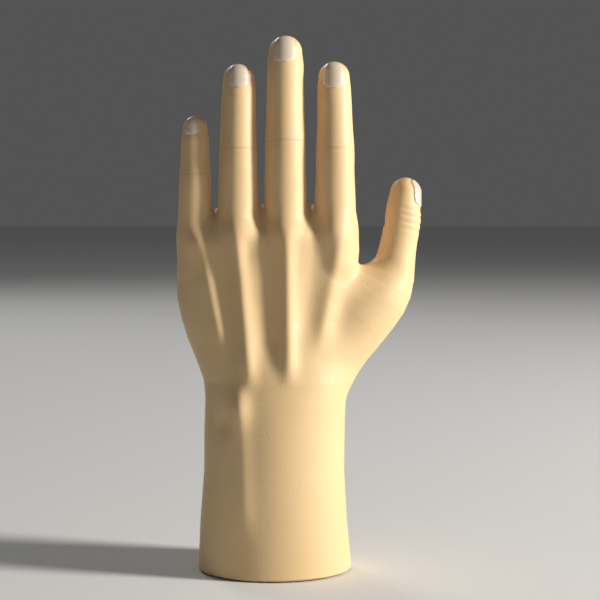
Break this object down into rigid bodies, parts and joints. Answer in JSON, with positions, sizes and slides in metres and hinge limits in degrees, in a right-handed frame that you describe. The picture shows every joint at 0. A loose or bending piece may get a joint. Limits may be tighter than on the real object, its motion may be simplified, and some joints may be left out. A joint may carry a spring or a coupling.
{
  "type": "passive prosthetic hand",
  "caption": "Passive left hand for a forearm socket: skin-coloured glove over an inner frame, with fingers, thumb and wrist that are set by hand and held by friction.",
  "frame": {"origin": "centre of the mounting flange's underside, on the forearm's axis", "axes": "+Z along the forearm towards the fingertips, +X towards the thumb, +Y towards the palm side"},
  "size_m": [0.1235, 0.06, 0.2672],
  "materials": {
    "glove": "satin",
    "nail": "gloss",
    "bone": "matte",
    "foam": "matte",
    "alloy": "satin",
    "steel": "satin",
    "nylon": "matte",
    "former": "matte"
  },
  "bodies": {
    "wrist_unit": {"mounting_flange": "alloy", "flange_screws": "steel", "wrist_housing": "alloy", "friction_bush": "nylon"},
    "palm": {"wrist_spindle": "alloy", "disc_springs": "steel", "lock_nut": "alloy", "wrist_plate": "alloy", "spindle_screws": "steel", "cuff_former": "former", "palm_chassis": "alloy", "knuckle_block": "alloy", "knuckle_pins": "steel", "knuckle_washers": "nylon", "chassis_screws": "steel", "thumb_bracket": "alloy", "thumb_swing_pin": "steel", "foam_back": "foam", "foam_front": "foam", "palm_glove": "glove", "knuckle_folds": "glove"},
    "thumb_root": {"thumb_palm_bone": "bone", "thumb_knuckle_pivot": "steel", "thumb_web_glove": "glove", "thumb_knuckle_fold": "glove"},
    "index_base": {"index_first_bone": "bone", "index_bone_glove": "glove", "index_middle_fold": "glove", "index_middle_pivot": "steel"},
    "index_tip": {"index_end_bone": "bone", "index_tip_glove": "glove", "index_nail": "nail"},
    "middle_base": {"middle_first_bone": "bone", "middle_bone_glove": "glove", "middle_middle_fold": "glove", "middle_middle_pivot": "steel"},
    "middle_tip": {"middle_end_bone": "bone", "middle_tip_glove": "glove", "middle_nail": "nail"},
    "ring_base": {"ring_first_bone": "bone", "ring_bone_glove": "glove", "ring_middle_fold": "glove", "ring_middle_pivot": "steel"},
    "ring_tip": {"ring_end_bone": "bone", "ring_tip_glove": "glove", "ring_nail": "nail"},
    "little_base": {"little_first_bone": "bone", "little_bone_glove": "glove", "little_middle_fold": "glove", "little_middle_pivot": "steel"},
    "little_tip": {"little_end_bone": "bone", "little_tip_glove": "glove", "little_nail": "nail"},
    "thumb_base": {"thumb_first_bone": "bone", "thumb_bone_glove": "glove", "thumb_middle_fold": "glove", "thumb_middle_pivot": "steel"},
    "thumb_tip": {"thumb_end_bone": "bone", "thumb_tip_glove": "glove", "thumb_nail": "nail"}
  },
  "joints": [
    {"name": "wrist_rotation", "type": "hinge", "parent": "wrist_unit", "child": "palm", "pos_m": [0, 0, 0.046], "axis": [0, 0, 1], "continuous": true},
    {"name": "index_knuckle", "type": "hinge", "parent": "palm", "child": "index_base", "pos_m": [0.03, 0, 0.1674], "axis": [-1, 0, 0], "range_deg": [0, 85], "deforming": ["knuckle_folds"]},
    {"name": "index_middle", "type": "hinge", "parent": "index_base", "child": "index_tip", "pos_m": [0.03, 0.00222, 0.20984], "axis": [-1, 0, 0], "range_deg": [0, 90], "deforming": ["index_middle_fold"]},
    {"name": "middle_knuckle", "type": "hinge", "parent": "palm", "child": "middle_base", "pos_m": [0.0052, -0.0005, 0.1674], "axis": [-1, 0, 0], "range_deg": [0, 85]},
    {"name": "middle_middle", "type": "hinge", "parent": "middle_base", "child": "middle_tip", "pos_m": [0.0052, 0.00193, 0.21384], "axis": [-1, 0, 0], "range_deg": [0, 90], "deforming": ["middle_middle_fold"]},
    {"name": "ring_knuckle", "type": "hinge", "parent": "palm", "child": "ring_base", "pos_m": [-0.0183, 0, 0.1674], "axis": [-1, 0, 0], "range_deg": [0, 85]},
    {"name": "ring_middle", "type": "hinge", "parent": "ring_base", "child": "ring_tip", "pos_m": [-0.0183, 0.00222, 0.20984], "axis": [-1, 0, 0], "range_deg": [0, 90], "deforming": ["ring_middle_fold"]},
    {"name": "little_knuckle", "type": "hinge", "parent": "palm", "child": "little_base", "pos_m": [-0.0394, 0.0032, 0.1624], "axis": [-1, 0, 0], "range_deg": [0, 85]},
    {"name": "little_middle", "type": "hinge", "parent": "little_base", "child": "little_tip", "pos_m": [-0.0394, 0.00504, 0.19755], "axis": [-1, 0, 0], "range_deg": [0, 90], "deforming": ["little_middle_fold"]},
    {"name": "thumb_swing", "type": "hinge", "parent": "palm", "child": "thumb_root", "pos_m": [0.022, 0.007, 0.1], "axis": [0, 0, 1], "range_deg": [0, 35], "deforming": ["thumb_web_glove"]},
    {"name": "thumb_knuckle", "type": "hinge", "parent": "thumb_root", "child": "thumb_base", "pos_m": [0.0585, 0.01, 0.142], "axis": [0.2045, 0.9738, -0.0991], "range_deg": [-25, 0], "deforming": ["thumb_knuckle_fold"]},
    {"name": "thumb_middle", "type": "hinge", "parent": "thumb_base", "child": "thumb_tip", "pos_m": [0.064, 0.012, 0.173], "axis": [0.2045, 0.9738, -0.0991], "range_deg": [-50, 0], "deforming": ["thumb_middle_fold"]}
  ]
}
